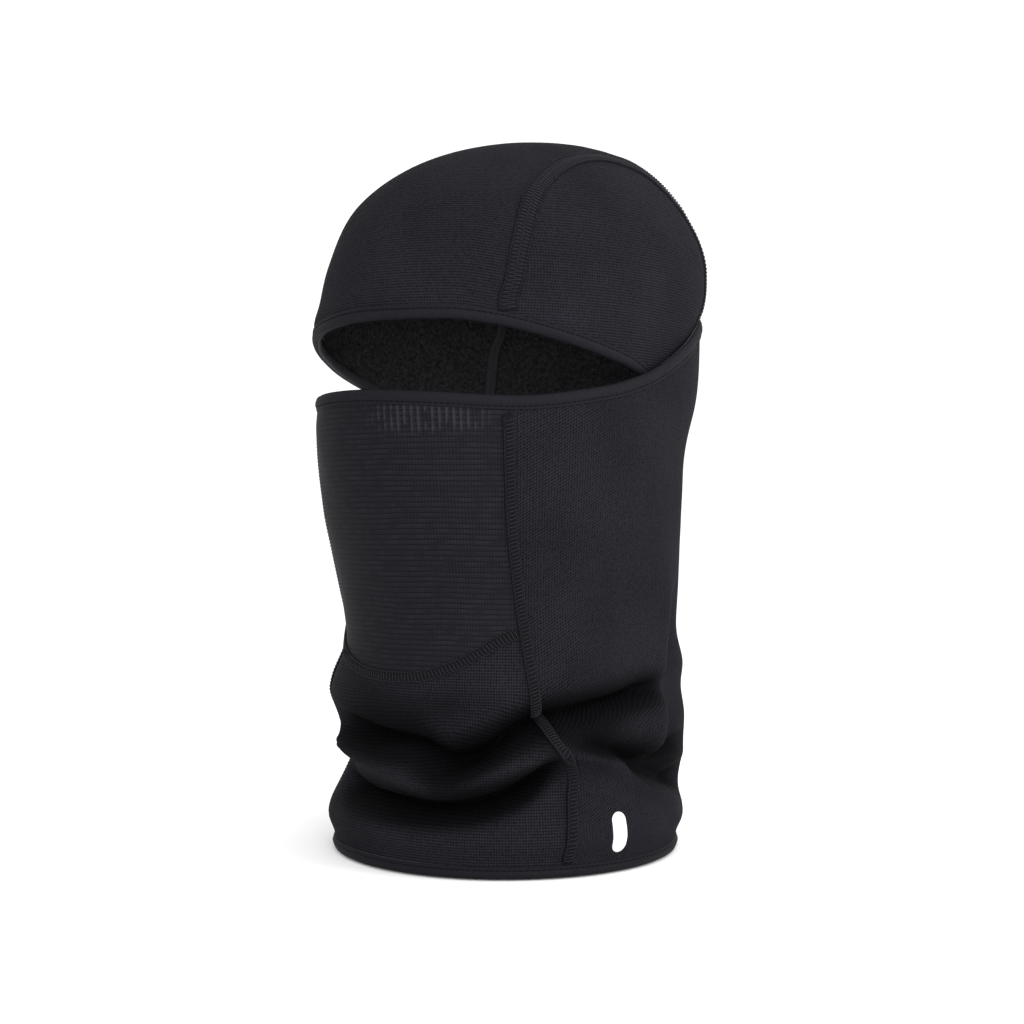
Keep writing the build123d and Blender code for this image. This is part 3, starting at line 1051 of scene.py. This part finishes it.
# what the rows, the upright stitches and the chance unevenness add to the knit's height
ROWS_SHARE, STITCHES_SHARE, UNEVEN_SHARE = 0.52, 0.34, 0.9
WANDER = 0.0002  # how far the rows stray, in metres


def knit_group():
    """A knit of small raised squares: its height, and a mask of the shade between them."""
    tree, given, result = group(
        "knit",
        [
            ("Place", "NodeSocketVector", None),
            ("Pitch", "NodeSocketFloat", 0.0012),
            ("Lean", "NodeSocketFloat", 0.0),
        ],
        [("Height", "NodeSocketFloat"), ("Shade", "NodeSocketFloat")],
    )
    wander = new_node(tree, "ShaderNodeTexNoise", Scale=140.0, Detail=3.0)
    tree.links.new(given.outputs["Place"], wander.inputs["Vector"])
    apart = tree.nodes.new("ShaderNodeSeparateXYZ")
    tree.links.new(given.outputs["Place"], apart.inputs[0])
    shift = times(tree, wander.outputs[0], WANDER)
    u = plus(tree, apart.outputs[0], shift)
    v = plus(tree, apart.outputs[1], times(tree, shift, 0.8))
    leaning = plus(tree, v, times(tree, u, given.outputs["Lean"]))
    rows = ribbed(tree, leaning, given.outputs["Pitch"], 1.0)
    stitches = ribbed(tree, u, given.outputs["Pitch"], 1.0)
    uneven = new_node(tree, "ShaderNodeTexNoise", Scale=850.0, Detail=2.0)
    tree.links.new(given.outputs["Place"], uneven.inputs["Vector"])
    weave = plus(tree, times(tree, rows, ROWS_SHARE), times(tree, stitches, STITCHES_SHARE))
    height = plus(tree, weave, times(tree, uneven.outputs[0], UNEVEN_SHARE))
    soft = minus(tree, height, 0.32)
    tree.links.new(soft, result.inputs["Height"])
    tree.links.new(soft, result.inputs["Shade"])
    return tree


def fuzz_group():
    """Short brushed fibres: a height and a mask, fine over coarse."""
    tree, given, result = group(
        "fuzz",
        [("Place", "NodeSocketVector", None), ("Size", "NodeSocketFloat", 1200.0)],
        [("Height", "NodeSocketFloat"), ("Mask", "NodeSocketFloat")],
    )
    fine = new_node(tree, "ShaderNodeTexNoise", Detail=5.0, Roughness=0.7)
    coarse = new_node(tree, "ShaderNodeTexNoise", Detail=2.0)
    tree.links.new(given.outputs["Place"], fine.inputs["Vector"])
    tree.links.new(given.outputs["Place"], coarse.inputs["Vector"])
    tree.links.new(given.outputs["Size"], fine.inputs["Scale"])
    tree.links.new(times(tree, given.outputs["Size"], 0.45), coarse.inputs["Scale"])
    both = plus(tree, times(tree, fine.outputs[0], 0.6), times(tree, coarse.outputs[0], 0.4))
    tree.links.new(both, result.inputs["Height"])
    tree.links.new(both, result.inputs["Mask"])
    return tree


PAINTED_GLEAM_FROM = 182.0  # the painted highlight on the mask's yarns starts at this height, under the rim
PAINTED_GLEAM_RISE = 7.0  # the painted highlight is full this far above
PAINTED_GLEAM_MIDDLE = 28.0  # millimetres round to the wearer's left where the painted highlight is strongest
PAINTED_GLEAM_REACH = 24.0  # the painted highlight ends this far to each side of there
RIB_PITCH = 2.2  # of the mask's cross ribs
YARN_PITCH = 1.25  # of its upright yarns; every second one can carry the painted highlight
CREASE_SHADE_STRENGTH = 0.82  # how far the painted shade darkens a full crease
# the colour of the painted shade deep in a crease
CREASE_SHADE_COLOUR = (0.0008, 0.0008, 0.001)
KNIT, FUZZ = knit_group(), fuzz_group()


def material(name, roughness, specular):
    """A material with its fixed finish, and the parts that its pattern joins on to."""
    made = bpy.data.materials.new(name)
    made.use_nodes = True
    tree = made.node_tree
    shader = tree.nodes["Principled BSDF"]
    shader.inputs["Roughness"].default_value = roughness
    shader.inputs["Specular IOR Level"].default_value = specular
    return made, tree, shader


def clamped(tree, value):
    """The value held between 0 and 1."""
    held = tree.nodes.new("ShaderNodeClamp")
    tree.links.new(value, held.inputs["Value"])
    return held.outputs[0]


def place_of(tree, kind="UV"):
    return tree.nodes.new("ShaderNodeTexCoord").outputs[kind]


def fuzzed(tree, size):
    """Brushed fibres of a size over the piece."""
    fuzz = new_node(tree, "ShaderNodeGroup", node_tree=FUZZ)
    tree.links.new(place_of(tree, "Object"), fuzz.inputs["Place"])
    fuzz.inputs["Size"].default_value = size
    return fuzz


def coloured(tree, shader, mask, dark, light, painted_crease_shade=False):
    """Base colour from dark to light by a mask, with shade painted in where the cloth is deep in a
    crease.
    """
    mix = new_node(tree, "ShaderNodeMix", data_type="RGBA")
    tree.links.new(mask, mix.inputs[0])
    mix.inputs[6].default_value = (*dark, 1)
    mix.inputs[7].default_value = (*light, 1)
    colour = mix.outputs[2]
    if painted_crease_shade:
        # painted shade: the colour goes towards near black where the shade attribute marks a crease
        crease = new_node(tree, "ShaderNodeAttribute", attribute_name="shade")
        crease_shade_mix = new_node(tree, "ShaderNodeMix", data_type="RGBA")
        tree.links.new(times(tree, crease.outputs["Fac"], CREASE_SHADE_STRENGTH), crease_shade_mix.inputs[0])
        tree.links.new(colour, crease_shade_mix.inputs[6])
        crease_shade_mix.inputs[7].default_value = (*CREASE_SHADE_COLOUR, 1)
        colour = crease_shade_mix.outputs[2]
    tree.links.new(colour, shader.inputs["Base Color"])


def bumped(tree, shader, height, strength, distance):
    bump = new_node(tree, "ShaderNodeBump", Strength=strength, Distance=distance)
    tree.links.new(height, bump.inputs["Height"])
    tree.links.new(bump.outputs[0], shader.inputs["Normal"])


def fleece_face(name, pitch, lean, dark, light, painted_crease_shade=False):
    """The outside of the knit: small squares with a little fuzz and slow changes of shade."""
    made, tree, shader = material(name, 0.9, 0.04)
    uv = place_of(tree)
    knit = new_node(tree, "ShaderNodeGroup", node_tree=KNIT)
    tree.links.new(uv, knit.inputs["Place"])
    knit.inputs["Pitch"].default_value = pitch
    knit.inputs["Lean"].default_value = lean
    fuzz = fuzzed(tree, 900.0)
    slow = new_node(tree, "ShaderNodeTexNoise", Scale=28.0, Detail=3.0)
    tree.links.new(place_of(tree, "Object"), slow.inputs["Vector"])
    mask = times(tree, knit.outputs["Shade"], plus(tree, slow.outputs[0], 0.45))
    mask = plus(tree, mask, times(tree, minus(tree, fuzz.outputs["Mask"], 0.5), 0.7))
    coloured(tree, shader, mask, dark, light, painted_crease_shade)
    height = plus(tree, knit.outputs["Height"], times(tree, fuzz.outputs["Height"], 0.8))
    bumped(tree, shader, height, 0.7, 0.00045)
    return made


def fleece_back_painted_light():
    """The brushed inside: matte and pebbly, made far paler than the outside as painted light, with
    painted shade in the creases.
    """
    made, tree, shader = material("brushed fleece with painted light", 0.95, 0.03)
    fuzz = fuzzed(tree, 1300.0)
    pebbles = plus(tree, times(tree, fuzz.outputs["Mask"], 3.6), -1.3)
    # painted light: these colours are far lighter than the outer fleece, to light up the shaded inside
    coloured(tree, shader, pebbles, (0.012, 0.012, 0.0135), (0.105, 0.105, 0.113), painted_crease_shade=True)
    bumped(tree, shader, fuzz.outputs["Height"], 0.9, 0.0011)
    return made


def mask_cloth():
    """Smooth stretch woven: uneven dark cross ribs and fine upright yarns; under the rim some yarns
    carry a painted highlight and are a little glossier.
    """
    made, tree, shader = material("mask cloth", 0.6, 0.04)
    apart = tree.nodes.new("ShaderNodeSeparateXYZ")
    uv = place_of(tree)
    tree.links.new(uv, apart.inputs[0])
    slow = new_node(tree, "ShaderNodeTexNoise", Scale=26.0, Detail=3.0)
    tree.links.new(uv, slow.inputs["Vector"])
    broken = new_node(tree, "ShaderNodeTexNoise", Scale=190.0, Detail=3.0)
    tree.links.new(uv, broken.inputs["Vector"])
    waver = plus(tree, apart.outputs[1], times(tree, slow.outputs[0], 0.0028))
    strength = times(tree, minus(tree, broken.outputs[0], 0.28), 2.4)
    ribs = times(tree, ribbed(tree, waver, RIB_PITCH * MM, 5.0), strength)
    fine = ribbed(tree, waver, RIB_PITCH / 2 * MM, 2.0)
    yarns = ribbed(tree, apart.outputs[0], YARN_PITCH * MM, 1.5)
    under_rim = new_node(tree, "ShaderNodeMapRange", interpolation_type="SMOOTHSTEP")
    under_rim.inputs["From Min"].default_value = PAINTED_GLEAM_FROM * MM
    under_rim.inputs["From Max"].default_value = (PAINTED_GLEAM_FROM + PAINTED_GLEAM_RISE) * MM
    tree.links.new(apart.outputs[1], under_rim.inputs["Value"])
    patch = times(tree, minus(tree, broken.outputs[0], 0.40), 5.0)
    painted_gleam = times(tree, ribbed(tree, apart.outputs[0], 2 * YARN_PITCH * MM, 5.0), under_rim.outputs[0])
    painted_gleam = times(tree, painted_gleam, clamped(tree, patch))
    away = maths(tree, "ABSOLUTE", minus(tree, apart.outputs[0], PAINTED_GLEAM_MIDDLE * MM))
    nearness = minus(tree, 1.5, maths(tree, "DIVIDE", away, PAINTED_GLEAM_REACH * MM / 1.5))
    painted_gleam = times(tree, painted_gleam, clamped(tree, nearness))
    body = plus(tree, times(tree, yarns, 0.16), 0.44)
    body = minus(tree, body, times(tree, ribs, 0.45))
    body = minus(tree, body, times(tree, fine, 0.12))
    body = plus(tree, body, times(tree, minus(tree, broken.outputs[0], 0.5), 0.6))
    # painted highlight: the bright yarns under the rim lighten the base colour
    body = plus(tree, body, times(tree, painted_gleam, 2.4))
    coloured(tree, shader, body, (0.0008, 0.0008, 0.0012), (0.0160, 0.0160, 0.0205))
    tree.links.new(minus(tree, 0.62, times(tree, painted_gleam, 0.2)), shader.inputs["Roughness"])
    height = minus(tree, times(tree, yarns, 0.35), ribs)
    bumped(tree, shader, height, 0.45, 0.00022)
    return made


def smooth_tape(name, dark, light):
    """Fold-over elastic with very fine ribs across it."""
    made, tree, shader = material(name, 0.65, 0.04)
    apart = tree.nodes.new("ShaderNodeSeparateXYZ")
    tree.links.new(place_of(tree), apart.inputs[0])
    ribs = ribbed(tree, apart.outputs[0], 0.0009, 1.0)
    fuzz = fuzzed(tree, 1100.0)
    mask = plus(tree, times(tree, fuzz.outputs["Mask"], 0.7), times(tree, ribs, 0.2))
    coloured(tree, shader, mask, dark, light)
    bumped(tree, shader, plus(tree, times(tree, ribs, 0.5), fuzz.outputs["Height"]), 0.45, 0.00022)
    return made


def seam_cloth(name, dark, light):
    """The cloth drawn tight in a seam."""
    made, tree, shader = material(name, 0.8, 0.05)
    fuzz = fuzzed(tree, 800.0)
    coloured(tree, shader, fuzz.outputs["Mask"], dark, light)
    bumped(tree, shader, fuzz.outputs["Height"], 0.8, 0.0005)
    return made


def thread_stuff(name, dark, light):
    made, tree, shader = material(name, 0.5, 0.08)
    twist = new_node(tree, "ShaderNodeTexWave", Scale=900.0, Distortion=1.0)
    tree.links.new(place_of(tree, "Object"), twist.inputs["Vector"])
    coloured(tree, shader, twist.outputs["Fac"], dark, light)
    return made


def reflective_film():
    """Silver-grey film of fine glass beads."""
    made, tree, shader = material("reflective film", 0.42, 0.5)
    beads = new_node(tree, "ShaderNodeTexVoronoi", Scale=2600.0)
    tree.links.new(place_of(tree, "Object"), beads.inputs["Vector"])
    coloured(tree, shader, beads.outputs["Distance"], (0.62, 0.62, 0.64), (0.76, 0.76, 0.78))
    bumped(tree, shader, beads.outputs["Distance"], 0.25, 0.0001)
    return made


HOOD_CLOTH = fleece_face("hood fleece", 0.00115, 0.0, (0.002, 0.002, 0.003), (0.0145, 0.014, 0.018))
TUBE_SHADES = (0.0018, 0.0018, 0.0025), (0.0145, 0.014, 0.0182)
FRONT_CLOTH = fleece_face("front fleece", 0.00120, 0.0, *TUBE_SHADES, painted_crease_shade=True)
SIDE_CLOTH = fleece_face("side fleece", 0.00130, -0.55, *TUBE_SHADES, painted_crease_shade=True)
INSIDE_PAINTED_LIGHT = fleece_back_painted_light()
MASK_CLOTH = mask_cloth()
TAPE = smooth_tape("smooth elastic tape", (0.0035, 0.0035, 0.0047), (0.0130, 0.0127, 0.0166))
# painted light: a far paler copy of the tape for its inside faces, which lie in shade
TAPE_BACK_PAINTED_LIGHT = smooth_tape("tape turned inside with painted light", (0.030, 0.030, 0.034), (0.130, 0.130, 0.142))
SEAM = seam_cloth("seam fleece", (0.0010, 0.0010, 0.0014), (0.0088, 0.0086, 0.0112))
YARN = thread_stuff("polyester thread", (0.0060, 0.0060, 0.0075), (0.0215, 0.0210, 0.0262))
# painted shade: the tape's stitches are real thread, coloured near black to stand for the shade in
# their stitch holes
TAPE_YARN_PAINTED_SHADE = thread_stuff("tape thread with painted shade", (0.0002, 0.0002, 0.0003), (0.0010, 0.0010, 0.0013))
FILM = reflective_film()


def dressed(piece, *materials):
    for made in materials:
        piece.data.materials.append(made)
    return piece


tapes = (rim_tape, hem_tape, face_tape)
tape_threads = (rim_thread, hem_thread, face_thread)
for piece in (*hood_sheets, neck):
    dressed(piece, HOOD_CLOTH, INSIDE_PAINTED_LIGHT)
for piece in side_panels.values():
    dressed(piece, SIDE_CLOTH, INSIDE_PAINTED_LIGHT)
dressed(chin_panel, FRONT_CLOTH, INSIDE_PAINTED_LIGHT)
dressed(mask, MASK_CLOTH, INSIDE_PAINTED_LIGHT)
for piece in tapes:
    dressed(piece, TAPE, TAPE_BACK_PAINTED_LIGHT)
for piece in (*front_seams.values(), chin_strip, back_strip, *hood_seams.values(), join):
    dressed(piece, SEAM)
for piece in (chin_thread, back_thread, *front_threads.values(), *hood_threads.values()):
    dressed(piece, YARN)
for piece in tape_threads:
    dressed(piece, TAPE_YARN_PAINTED_SHADE)
dressed(tab, FILM)
for piece in hood_seams.values():  # the strip inside the hood gets painted light, as pale as the painted-light cloth there
    piece.data.materials.append(TAPE_BACK_PAINTED_LIGHT)
    for face in piece.data.polygons[piece["outer_faces"]:]:
        face.material_index = 1

# ------------------------------------------------------------------ bodies and nodes
for piece in (*hood_sheets, *hood_trim):
    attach(piece, "hood")
for piece in (rim_tape, rim_thread):
    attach(piece, "face_mask")
for piece in (hem_tape, hem_thread, join, tab):
    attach(piece, "collar")
for piece in (
    mask, chin_panel, *side_panels.values(), chin_strip, chin_thread,
    back_strip, back_thread, *front_seams.values(), *front_threads.values(),
):
    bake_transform(piece)
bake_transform(neck)

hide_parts("mask_panel")
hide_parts("collar_front", "neck_front")
for side in SIDES:
    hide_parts(f"collar_{side}", f"neck_{side}", f"cheek_{side}")
    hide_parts(*(f"front_seam_{side}_{run}" for run in ("collar", "neck", "upper")))
    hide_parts(f"hood_side_{side}")
    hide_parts(f"hood_seam_{side}")
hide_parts("back_seam_collar", "back_seam_neck", "back_seam_upper")
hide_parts("chin_seam")
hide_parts("rim_binding")
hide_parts("hem_binding")
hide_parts("face_binding")
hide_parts("crown_panel")
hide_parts("hood_neck")
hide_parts("join_seam")
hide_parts("reflective_tab")

# ------------------------------------------------------------------ floor, light and camera
bpy.ops.object.select_all(action="DESELECT")
bpy.ops.mesh.primitive_plane_add(size=12, location=(0, 0, -0.0005))
floor = bpy.context.active_object
floor.name = "floor"
floor_paint = bpy.data.materials.new("white floor")
floor_paint.use_nodes = True
floor_shader = floor_paint.node_tree.nodes["Principled BSDF"]
floor_shader.inputs["Base Color"].default_value = (0.93, 0.93, 0.93, 1)
floor_shader.inputs["Roughness"].default_value = 0.9
floor.data.materials.append(floor_paint)

world = bpy.context.scene.world or bpy.data.worlds.new("studio")
bpy.context.scene.world = world
world.use_nodes = True
world.node_tree.nodes["Background"].inputs["Color"].default_value = (1, 1, 1, 1)
world.node_tree.nodes["Background"].inputs["Strength"].default_value = 1.15
bpy.context.scene.view_settings.view_transform = "Standard"

CAMERA_TURN = math.radians(40.5)
CAMERA_AWAY = 0.736
CAMERA_HEIGHT = 0.1513
LIT_HEIGHT = 0.18  # the lights aim at the axis here


def stand_at(thing, turn, away, height):
    """Puts a thing at a turn, a distance from the upright axis and a height, in metres."""
    thing.location = (away * math.sin(turn), -away * math.cos(turn), height)


def area_light(name, turn, away, height, size, power):
    light = bpy.data.lights.new(name, "AREA")
    light.size = size
    light.energy = power
    lamp = bpy.data.objects.new(name, light)
    stand_at(lamp, math.radians(turn), away, height)
    aim = Vector((0, 0, LIT_HEIGHT)) - lamp.location
    lamp.rotation_euler = aim.to_track_quat("-Z", "Y").to_euler()
    bpy.context.scene.collection.objects.link(lamp)


area_light("front", 40, 1.3, 0.42, 0.9, 11)
area_light("side", 112, 1.3, 0.6, 0.9, 13)
area_light("top", 60, 0.3, 1.5, 0.8, 5)

lens = bpy.data.cameras.new("camera")
lens.lens = 56
lens.sensor_width = 36
lens.clip_start = 0.01
camera = bpy.data.objects.new("camera", lens)
stand_at(camera, CAMERA_TURN, CAMERA_AWAY, CAMERA_HEIGHT)
camera.rotation_euler = (math.radians(90), 0, CAMERA_TURN)
bpy.context.scene.collection.objects.link(camera)
bpy.context.scene.camera = camera
